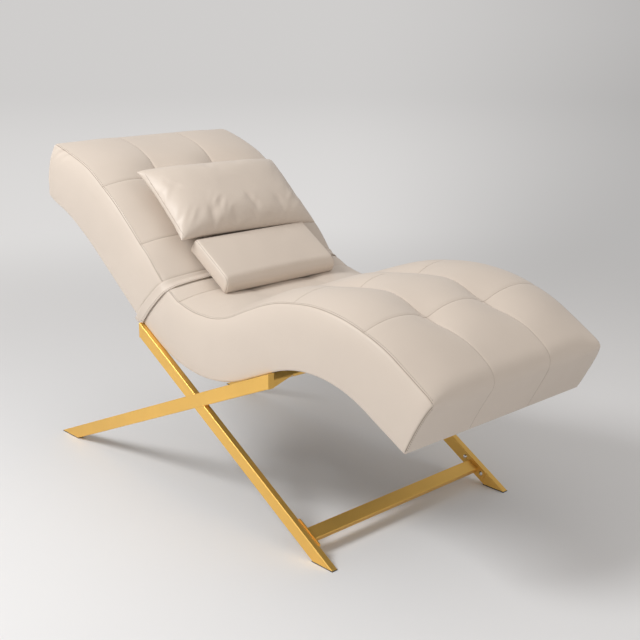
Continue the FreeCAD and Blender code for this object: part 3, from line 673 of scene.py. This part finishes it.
def sewStitches(name, skin, rows, body):
    look = stitchLook
    tree = skinTree(skin)
    profile = [(-0.5, 0.3), (-0.3, 0.85), (0.0, 1.0), (0.3, 0.85), (0.5, 0.3)]  # along, thickness
    around = [(math.cos(math.pi * i / 3), math.sin(math.pi * i / 3)) for i in range(6)]
    bm = bmesh.new()
    for row in rows:
        for point, ahead in stepAlong(row, look["pitch"]):
            place, normal = tree.find_nearest(point)[:2]
            across = normal.cross(ahead).normalized()
            ahead = across.cross(normal)
            rings = []
            for along, thick in profile:
                middle = place + ahead * along * look["long"]
                spokes = [across * c * look["wide"] + normal * n * look["high"] for c, n in around]
                rings.append(addRing(bm, [middle + thick / 2 * spoke for spoke in spokes], rings))
            bm.faces.new(rings[0])
            bm.faces.new(rings[-1])
    obj = meshObject(name, bm, thread, body)


def paintSeamShade(name, skin, rows, body):
    # painted shade: a thin dark strip at the bottom of each seam, standing for the shade in the groove
    tree = skinTree(skin)
    bm = bmesh.new()
    for row, wide in rows:
        rings = []
        for point, ahead in stepAlong(row, seamLook["step"]):
            place, normal = tree.find_nearest(point)[:2]
            across = normal.cross(ahead).normalized() * wide / 2
            up = normal * seamLook["high"]
            inner = across * 0.5
            ring = (place + across, place + inner + up, place - inner + up, place - across, place - up)
            rings.append(addRing(bm, ring, rings))
        bm.faces.new(rings[0])
        bm.faces.new(rings[-1])
    obj = meshObject(name, bm, seamShade, body)


def padStitchRows(pad, start):
    # a row along each top edge and one down each corner of the end
    length, half, top = padLength(pad), padLook["seamHalf"], padLook["boxHeight"]
    beside, short, rows = stitchLook["beside"], stitchLook["fromEnd"], []
    runs = [start + (length - short - start) * i / 150 for i in range(151)]
    falls = [top - short - (top - 2 * short) * i / 20 for i in range(21)]
    for side in (-1, 1):
        rows.append([padSkin(pad, s, side * (half - beside), top) for s in runs])
        rows.append([padSkin(pad, length, side * (half - beside), h) for h in falls])
    return rows


def padSeamRows(pad, start):
    length, half, top = padLength(pad), padLook["seamHalf"], padLook["boxHeight"]
    runs = [start + (length - start) * i / 200 for i in range(201)]
    look, column = seamLook, padLook["column"]
    runsOn = [s for s in runs if s > pad["seamFrom"] + 0.02]
    falls = [top - (top - look["lowest"]) * i / 30 for i in range(31)]
    wide = [-half + 2 * half * i / 140 for i in range(141)]
    rows = [([padSkin(pad, row, y, top) for y in wide], look["cross"]) for row, weight in pad["rows"]]
    for side in (-1, 1):
        rows.append(([padSkin(pad, s, side * half, top) for s in runs], look["edge"]))
        rows.append(([padSkin(pad, length, side * half, h) for h in falls], look["edge"]))
        rows.append(([padSkin(pad, s, side * column, top) for s in runsOn], look["long"]))
        rows.append(([padSkin(pad, length, side * column, h) for h in falls], look["long"]))
    return rows


def flapStitchRows(places):
    half, top = flapBox()[:2]
    lift, low = stitchLook["offFlap"], stitchLook["fromEnd"]
    up = [-low + (top + low) * i / 40 for i in range(40)]
    over = [-half + 2 * half * i / 120 for i in range(121)]
    outline = [(-half, h) for h in up] + [(y, top) for y in over] + [(half, h) for h in reversed(up)]
    rows = []
    for s in places:
        row = []
        for y, h in outline:
            y, h = roundFlap(y, h)
            row.append(flapPoint(s, y, h + lift * onTop(h), flapLook["off"] + lift))
        rows.append(row)
    return rows


sewStitches("seatStitches", seatSkin, padStitchRows(seatPad, 0.028), "frame_and_seat")
sewStitches("backStitches", backSkin, padStitchRows(backPad, 0.022), "backrest")
paintSeamShade("seatSeamShade", seatSkin, padSeamRows(seatPad, 0.026), "frame_and_seat")
paintSeamShade("backSeamShade", backSkin, padSeamRows(backPad, 0.019), "backrest")
sewStitches("flapStitches", flapSkin, flapStitchRows((0.0178, 0.0128)), "backrest")


# the loose head pillow: two panels sewn at a knife edge and filled

pillowLook = {
    "size": (0.522, 0.272), "upper": 0.064, "lower": 0.049, "turn": 0.026,
    "endEar": 0.003, "lowEar": 0.003, "highEar": -0.009, "tilt": 40.5, "cell": 0.0072, "edge": 0.0022,
    "pressure": 3.2, "grow": (0.004, 0.05), "frames": 30, "most": 0.012, "fold": 0.0070, "endSeam": 0.0055,
    # soft dents: across, along, reach across, reach along, slant, depth
    "dents": [
        (0.86, 0.44, 0.030, 0.11, 0.25, 0.0045), (0.80, 0.30, 0.045, 0.09, 0.35, 0.0035),
        (0.53, -0.62, 0.055, 0.26, -0.12, 0.0060), (-0.08, -0.42, 0.050, 0.20, 0.18, 0.0040),
        (-0.50, -0.55, 0.060, 0.18, 0.10, 0.0035), (-0.86, -0.15, 0.040, 0.22, -0.10, 0.0030),
    ],
    # how far each corner is drawn out, across and along
    "corners": {
        (1, 1): (0.014, 0.006), (1, -1): (0.006, 0.004), (-1, -1): (0.007, 0.007), (-1, 1): (0.003, -0.005),
    },
    "puff": (3.4, 3.0, 0.52), "rimLine": 0.0035, "innerLine": 0.0085, "seamDip": 0.0016, "seamWidth": 0.0022,
    "uneven": 0.0022, "dentFade": 0.02, "seamLevel": 0.008,
}


def fillByPressure(obj, pressure, frames, grow, most):
    cloth = obj.modifiers.new("Filling", "CLOTH")
    settings = cloth.settings
    settings.quality = 7
    settings.mass = 0.25
    settings.tension_stiffness = 22.0
    settings.compression_stiffness = 22.0
    settings.shear_stiffness = 9.0
    settings.bending_stiffness = 3.5
    settings.air_damping = 4.0
    settings.vertex_group_shrink = "loose"  # loose leather buckles into soft folds
    settings.shrink_min, settings.shrink_max = -grow[0], -grow[1]
    settings.vertex_group_mass = "rim"
    settings.use_pressure = True
    settings.uniform_pressure_force = pressure
    settings.effector_weights.gravity = 0.0
    cloth.point_cache.frame_start = 1
    cloth.point_cache.frame_end = frames
    for number in range(1, frames + 1):
        scene.frame_set(number)
    filled = bpy.data.meshes.new_from_object(obj.evaluated_get(bpy.context.evaluated_depsgraph_get()))
    obj.modifiers.clear()
    old, obj.data = obj.data, filled
    for before, after in zip(old.vertices, filled.vertices):
        move = after.co - before.co
        if move.length > most:
            after.co = before.co + move * (most / move.length)
    bpy.data.meshes.remove(old)
    scene.frame_set(1)


def tiltedPoint(p, centre, tilt):
    # width goes to Y, length up the slope, height square to it
    lean = math.radians(tilt)
    along = Vector((-math.cos(lean), 0, math.sin(lean)))
    up = Vector((math.sin(lean), 0, math.cos(lean)))
    return Vector(centre) + Vector((0, -p[0], 0)) + along * p[1] + up * p[2]


def layTilted(mesh, centre, tilt):
    for v in mesh.vertices:
        v.co = tiltedPoint(v.co, centre, tilt)


def foldAt(x, y):
    # irregular slanting ridges, in metres on the panel
    across, along = x * 0.77 + y * 0.64, y * 0.77 - x * 0.64
    wave = noise.noise(Vector((across * 27.0, along * 10.0, 1.7)))
    return 0.55 - abs(2.2 * wave)


def makePillow():
    look = pillowLook
    width, length = look["size"]
    high = (width / 2, length / 2, look["edge"])
    bm = boxMesh([-c for c in high], high)
    for axis in (0, 1):
        lines = spread(-high[axis], high[axis], look["cell"])
        cutLines(bm, axis, lines + [side * (high[axis] - look["rimLine"]) for side in (-1, 1)])
    aways = (look["endSeam"], look["innerLine"])
    cutLines(bm, 0, [side * (high[0] - away) for side in (-1, 1) for away in aways])
    acrossPower, alongPower, power = look["puff"]
    rim, loose = [], {}
    bm.verts.index_update()
    for v in bm.verts:
        x, y, side = v.co.x / high[0], v.co.y / high[1], math.copysign(1, v.co.z)
        if max(abs(x), abs(y)) > 0.9999:
            rim.append(v.index)
        lumps = clamp(0.35 + 1.3 * noise.noise(Vector((x * 3.1, y * 1.7, 4.2))))
        ends = max(0.9 * smooth((x - 0.45) / 0.35), 0.4 * smooth((-x - 0.6) / 0.3))
        slack = max(smooth((0.1 - y) / 0.7), ends)
        loose[v.index] = lumps * slack
        puff = (max(0.0, 1 - abs(x) ** acrossPower) * max(0.0, 1 - abs(y) ** alongPower)) ** power
        fold = look["fold"] * foldAt(v.co.x, v.co.y) * slack * lumps
        v.co.x -= x * look["endEar"] * (1 - abs(y) ** 5)
        v.co.y -= y * (look["highEar"] if y > 0 else look["lowEar"]) * (1 - abs(x) ** 6)
        out, aside = look["corners"][(1 if x > 0 else -1, 1 if y > 0 else -1)]
        reach = (clamp((abs(x) - 0.5) / 0.5) * clamp((abs(y) - 0.2) / 0.8)) ** 2
        v.co.x += math.copysign(out * reach, x)
        v.co.y += math.copysign(aside * reach, y) + look["turn"] * v.co.x
        v.co.z = side * (look["edge"] + ((look["upper"] if side > 0 else look["lower"]) - 0.008) * puff)
        v.co.z += look["uneven"] * noise.noise(v.co * 17.0 + Vector((2.3, 0, 0))) * puff
        if side > 0:
            fromSeam = high[0] * (1 - abs(x)) - look["endSeam"]
            v.co.z += puff ** 0.5 * fold - look["seamDip"] * bell(fromSeam, look["seamWidth"])
    obj = meshObject("headPillow", bm, leather, "head_pillow")
    obj.vertex_groups.new(name="rim").add(rim, 1.0, "REPLACE")
    group = obj.vertex_groups.new(name="loose")
    for index, weight in loose.items():
        group.add([index], weight, "REPLACE")
    fillByPressure(obj, look["pressure"], look["frames"], look["grow"], look["most"])
    for v in obj.data.vertices:
        x, y = v.co.x / high[0], (v.co.y - look["turn"] * v.co.x) / high[1]
        if v.co.z > look["edge"]:
            for across, along, wide, long, slant, depth in look["dents"]:
                aside = x - across - slant * (y - along)
                fall = bell(aside, wide) * bell(y - along, long)
                v.co.z -= depth * fall * clamp(v.co.z / look["dentFade"])
        v.co.z = clamp(v.co.z, -look["lower"], look["upper"])
    shadeSmooth(obj.data)
    low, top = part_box("head_pillow_cover")
    layTilted(obj.data, (low + top) / 2, look["tilt"])
    subdivide(obj, 1)
    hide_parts("head_pillow_cover", "head_pillow_filling")
    rows = []
    for side in (-1, 1):
        x = side * (width / 2 - look["endSeam"])
        row = [(x, length * (i / 60 - 0.47) + look["turn"] * x, look["seamLevel"]) for i in range(57)]
        rows.append(([tiltedPoint(p, (low + top) / 2, look["tilt"]) for p in row], seamLook["cross"]))
    paintSeamShade("pillowSeamShade", obj, rows, "head_pillow")


makePillow()


# the loose lumbar cushion with boxed sides

lumbarLook = {
    "size": (0.440, 0.190, 0.050), "centre": (-0.1657, 0, 0.6837), "tilt": 32.4, "edge": 0.008,
    "crown": 0.009, "bulge": 0.0035, "cell": 0.0066, "toe": 0.008, "roll": 0.024, "sideReach": 0.03,
    "seam": 0.0016, "seamWidth": 0.0036, "seamLines": (0.0025, 0.005), "uneven": 0.0011,
    "pucker": 0.0014, "puckerReach": 0.035, "puckerTurn": 340.0,
}


def rollEdge(y, z, high, top, radius):
    # turns the square edge along the front's top, and the other long edges, into round ones
    radius = top if y < 0 < z else radius
    a = min(1.0, (abs(y) - high[1] + radius) / radius)
    b = min(1.0, (abs(z) - high[2] + radius) / radius)
    if a <= 0 or b <= 0:
        return y, z
    newY = high[1] - radius + radius * a * math.sqrt(1 - b * b / 2)
    newZ = high[2] - radius + radius * b * math.sqrt(1 - a * a / 2)
    return math.copysign(newY, y), math.copysign(newZ, z)


def makeLumbar():
    look = lumbarLook
    width, length, height = look["size"]
    low, high = (-width / 2, -length / 2, -height / 2), (width / 2, length / 2, height / 2)
    bm = boxMesh(low, high)
    edge, near = look["edge"], look["sideReach"]
    for axis in range(3):
        reach = high[axis]
        lines = spread(-reach + edge, reach - edge, look["cell"])
        lines += [side * (reach - away) for side in (-1, 1) for away in (*look["seamLines"], edge)]
        cutLines(bm, axis, sorted(lines))
    for v in bm.verts:
        fromX, fromY, fromZ = (high[i] - abs(v.co[i]) for i in range(3))
        x, y, z = roundCorners(v.co, low, high, (edge, edge, edge))
        # the seams round the two end panels
        dip = 0.7 * look["seam"] * bell(fromX + min(fromY, fromZ), look["seamWidth"])
        x -= math.copysign(dip, x)
        z -= math.copysign(dip, z) if fromZ <= fromY else 0.0
        y -= math.copysign(dip, y) if fromY <= fromZ else 0.0
        across, along = 1 - (x / high[0]) ** 2, 1 - (y / high[1]) ** 2
        puff = max(0.0, across) ** 0.6 * max(0.0, along) ** 0.6
        side = max(0.0, 1 - (z / high[2]) ** 2)
        front = smooth((-y - high[1] + near) / near)
        y, z = rollEdge(y, z, high, look["roll"], edge)
        z += puff * (look["crown"] if z > 0 else -0.0004)
        x += math.copysign(look["bulge"] * side * smooth((abs(x) - high[0] + near) / near), x)
        y += math.copysign(look["bulge"] * side * smooth((abs(y) - high[1] + near) / near), y)
        y -= look["toe"] * front * clamp(0.5 - z / height)  # the front stands nearly upright
        # small puckers on the front near its lower corners
        gather = math.exp(-fromX / look["puckerReach"]) * clamp(0.6 - z / height) * front
        y += look["pucker"] * gather * math.sin(abs(x) * look["puckerTurn"])
        z += look["uneven"] * noise.noise(Vector((x, y, z)) * 18.0) * puff * (1 if z > 0 else 0)
        v.co = (x, y, z)
    obj = meshObject("lumbarCushion", bm, leather, "lumbar_cushion")
    layTilted(obj.data, look["centre"], look["tilt"])
    subdivide(obj, 1)
    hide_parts("lumbar_cushion_cover", "lumbar_cushion_filling")
    corners = [(-1, -1), (-1, 1), (1, 1), (1, -1), (-1, -1)]
    loop = []
    for (ay, az), (by, bz) in zip(corners, corners[1:]):
        loop += [(ay + (by - ay) * i / 48, az + (bz - az) * i / 48) for i in range(48)]
    rows = []
    for end in (-1, 1):
        row = []
        for y, z in loop + loop[:1]:
            y, z = rollEdge(y * high[1], z * high[2], high, look["roll"], edge)
            y -= look["toe"] * smooth((-y - high[1] + near) / near) * clamp(0.5 - z / height)
            row.append(tiltedPoint((end * high[0], y, z), look["centre"], look["tilt"]))
        rows.append((row, seamLook["cross"]))
    paintSeamShade("lumbarSeamShade", obj, rows, "lumbar_cushion")


makeLumbar()


# black cloth stapled under each half

dustLook = {"half": 0.340, "inset": 0.030, "level": 0.0005, "thick": 0.0008, "step": 0.03}


def stretchDustCloth(name, pad, body, node):
    look = dustLook
    first, last = 0.004, padLength(pad) - look["inset"]
    bm = bmesh.new()
    bmesh.ops.create_grid(bm, x_segments=1, y_segments=1, size=1.0)
    bmesh.ops.scale(bm, vec=((last - first) / 2, look["half"], 1), verts=bm.verts)
    bmesh.ops.translate(bm, vec=((first + last) / 2, 0, 0), verts=bm.verts)
    cutLines(bm, 0, spread(first, last, look["step"]))
    cutLines(bm, 1, spread(-look["half"], look["half"], look["step"]))
    for v in bm.verts:
        v.co = bend(pad, v.co.x, v.co.y, look["level"])
    obj = meshObject(name, bm, finishes["dust_cloth"], body)
    thicken(obj, look["thick"])
    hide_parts(node)


stretchDustCloth("seatDustCloth", seatPad, "frame_and_seat", "seat_dust_cover")
stretchDustCloth("backDustCloth", backPad, "backrest", "back_dust_cover")
print("soft pieces done")


# the welds where the legs cross, ground flush with the tubes

weldLook = {
    "middle": 0.72055, "heel": 1.180, "pad": 0.003, "depth": 0.040, "longAngle": 23.75, "shortAngle": 30.1,
    "wide": 0.0027, "deep": 0.0026, "inset": 0.0022, "faces": (0.375, 0.355), "rough": 0.00006,
}


def grindWelds():
    look = weldLook
    angles = [math.radians(look[name]) for name in ("longAngle", "shortAngle")]
    tanLong, tanShort = (math.tan(angle) for angle in angles)
    longRise, shortRise = (look["depth"] / math.cos(angle) for angle in angles)
    whole = bmesh.new()
    for lift, inward in ((longRise, -1), (0.0, 1)):  # the long leg's upper and lower edge
        ends = []
        for rise, way in ((0.0, 1), (shortRise, -1)):
            x = (look["heel"] * tanShort + rise - lift) / (tanLong + tanShort) + way * look["inset"]
            ends.append(Vector((x - look["middle"], 0, look["pad"] + x * tanLong + lift)))
        run = ends[1] - ends[0]
        ahead = run.normalized()
        square = Vector((-ahead.z, 0, ahead.x)) * inward
        for side in (-1, 1):
            for face in look["faces"]:
                outward = side if face == look["faces"][0] else -side
                strip = boxMesh((0, 0, -look["deep"]), (run.length, look["wide"], 0))
                cutLines(strip, 0, spread(0, run.length, 0.003))
                cutLines(strip, 1, [look["wide"] / 2])
                for v in strip.verts:
                    ripple = look["rough"] * noise.noise(v.co * 300.0 + Vector((0, side, face * 40)))
                    out = (v.co.z + ripple) * outward + side * face
                    v.co = ends[0] + ahead * v.co.x + square * v.co.y + Vector((0, out, 0))
                bmesh.ops.recalc_face_normals(strip, faces=strip.faces)
                part = bpy.data.meshes.new("strip")
                strip.to_mesh(part)
                strip.free()
                whole.from_mesh(part)
                bpy.data.meshes.remove(part)
    obj = meshObject("groundWelds", whole, finishes["gold_metal"], "frame_and_seat")


grindWelds()


# camera, floor and light

cameraLook = {
    "place": (2.41745, -2.1974, 1.4493), "azimuth": 46.66, "elevation": 16.09, "roll": 0.37, "lens": 62.07,
}


def placeCamera():
    turn, rise, roll = (math.radians(cameraLook[k]) for k in ("azimuth", "elevation", "roll"))
    back = Vector((math.sin(turn) * math.cos(rise), -math.cos(turn) * math.cos(rise), math.sin(rise)))
    right = Vector((math.cos(turn), math.sin(turn), 0))
    up = back.cross(right)
    rolledRight = math.cos(roll) * right + math.sin(roll) * up
    rolledUp = math.cos(roll) * up - math.sin(roll) * right
    camera = bpy.data.objects.new("camera", bpy.data.cameras.new("camera"))
    camera.data.lens = cameraLook["lens"]
    camera.data.sensor_width = 36.0
    camera.data.clip_end = 200.0
    turned = Matrix((rolledRight, rolledUp, back)).transposed().to_4x4()
    camera.matrix_world = Matrix.Translation(cameraLook["place"]) @ turned
    scene.collection.objects.link(camera)
    scene.camera = camera


floorLook = {
    # far is the glowing backdrop's colour; bySide and byDistance paint light and shade onto it
    "colour": (0.768, 0.773, 0.783), "far": (0.625, 0.613, 0.605), "rough": 0.7,
    "size": 60.0, "rim": 3.0, "fade": (1.4, 4.2),
    "bySide": (0.0, 0.48, 1.0, 0.66), "byDistance": (3.0, 16.0, 1.16, 1.0),  # from, to, levels there
}


def mathNode(tree, operation, *values):
    node = addNode(tree, "Math", dict(enumerate(values)))
    node.operation = operation
    return node.outputs[0]


def seenDirectly(tree):
    # 1 where the camera, a mirror or glass looks at the surface
    path = tree.nodes.new("ShaderNodeLightPath")
    value = path.outputs["Is Camera Ray"]
    for name in ("Is Glossy Ray", "Is Transmission Ray"):
        value = mathNode(tree, "MAXIMUM", value, path.outputs[name])
    return value


def levelBy(tree, value, start, end, low, high):
    return mapRange(tree, value, low, high, start, end, "SMOOTHSTEP")


def paintedSideShade(tree, point):
    # painted shade: the glowing backdrop is darker to one side of the bed
    turned = {"Rotation": (0, 0, math.radians(cameraLook["azimuth"])), "Vector": point}
    turn = addNode(tree, "Mapping", turned)
    turn.vector_type = "TEXTURE"
    flat = addNode(tree, "VectorMath", {0: turn.outputs["Vector"]})
    flat.operation = "NORMALIZE"
    parts = addNode(tree, "SeparateXYZ", {"Vector": flat.outputs["Vector"]})
    return levelBy(tree, parts.outputs["X"], *floorLook["bySide"])


def mixShaders(tree, share, first, second, output):
    mix = addNode(tree, "MixShader", {0: share, 1: first, 2: second})
    tree.links.new(mix.outputs["Shader"], tree.nodes[output].inputs["Surface"])


def layFloor():
    look = floorLook
    bm = bmesh.new()
    bmesh.ops.create_grid(bm, x_segments=2, y_segments=2, size=look["size"])
    border = bmesh.ops.extrude_edge_only(bm, edges=[e for e in bm.edges if e.is_boundary])["geom"]
    raised = [v for v in border if isinstance(v, bmesh.types.BMVert)]
    bmesh.ops.translate(bm, vec=(0, 0, look["rim"]), verts=raised)
    material, tree, shader = newMaterial("paleFloor")
    point = objectPoint(tree)
    soft = noiseNode(tree, point, 2.0, 2.0)
    colours = colourMix(tree, soft, [c * 0.995 for c in look["colour"]], look["colour"])
    feed(tree, shader, {"Base Color": colours, "Roughness": look["rough"]})
    # far from the bed the floor runs into a glowing backdrop with painted light and shade: brighter nearer
    # the bed, darker to one side
    away = addNode(tree, "VectorMath", {0: point})
    away.operation = "LENGTH"
    fade = levelBy(tree, away.outputs["Value"], *look["fade"], 0.0, 1.0)
    share = mathNode(tree, "MULTIPLY", fade, seenDirectly(tree))
    nearer = levelBy(tree, away.outputs["Value"], *look["byDistance"])
    level = mathNode(tree, "MULTIPLY", paintedSideShade(tree, point), nearer)
    backdrop = addNode(tree, "Emission", {"Color": (*look["far"], 1), "Strength": level})
    mixShaders(tree, share, shader.outputs["BSDF"], backdrop.outputs["Emission"], "Material Output")
    mesh = bpy.data.meshes.new("floor")
    bm.to_mesh(mesh)
    bm.free()
    floor = bpy.data.objects.new("floor", mesh)
    mesh.materials.append(material)
    scene.collection.objects.link(floor)


lights = {
    "keyLight": {"place": (-0.7, -2.7, 3.2), "aim": (-0.1, 0, 0.4), "size": 1.3, "watts": 98.0},
    "rightFill": {"place": (2.6, 0.6, 2.4), "aim": (0.2, 0, 0.5), "size": 2.4, "watts": 11.0},
}
ambient = {"colour": (1.0, 0.957, 0.918), "strength": 0.54}


def setLights():
    for name, look in lights.items():
        lamp = bpy.data.lights.new(name, "AREA")
        lamp.shape = "SQUARE"
        lamp.size = look["size"]
        lamp.energy = look["watts"]
        obj = bpy.data.objects.new(name, lamp)
        aim = Vector(look["aim"]) - Vector(look["place"])
        turned = aim.to_track_quat("-Z", "Y").to_matrix().to_4x4()
        obj.matrix_world = Matrix.Translation(look["place"]) @ turned
        scene.collection.objects.link(obj)
    world = bpy.data.worlds.new("studio")
    world.use_nodes = True
    tree = world.node_tree
    light = tree.nodes["Background"]
    feed(tree, light, {"Color": (*ambient["colour"], 1), "Strength": ambient["strength"]})
    direction = tree.nodes.new("ShaderNodeTexCoord").outputs["Generated"]
    level = paintedSideShade(tree, direction)
    # the backdrop seen behind the bed glows with painted shade, darker to one side
    seen = addNode(tree, "Background", {"Color": (*floorLook["far"], 1), "Strength": level})
    mixShaders(tree, seenDirectly(tree), light.outputs[0], seen.outputs[0], "World Output")
    scene.world = world


placeCamera()
layFloor()
setLights()
scene.view_settings.view_transform = "Standard"

print("finished")
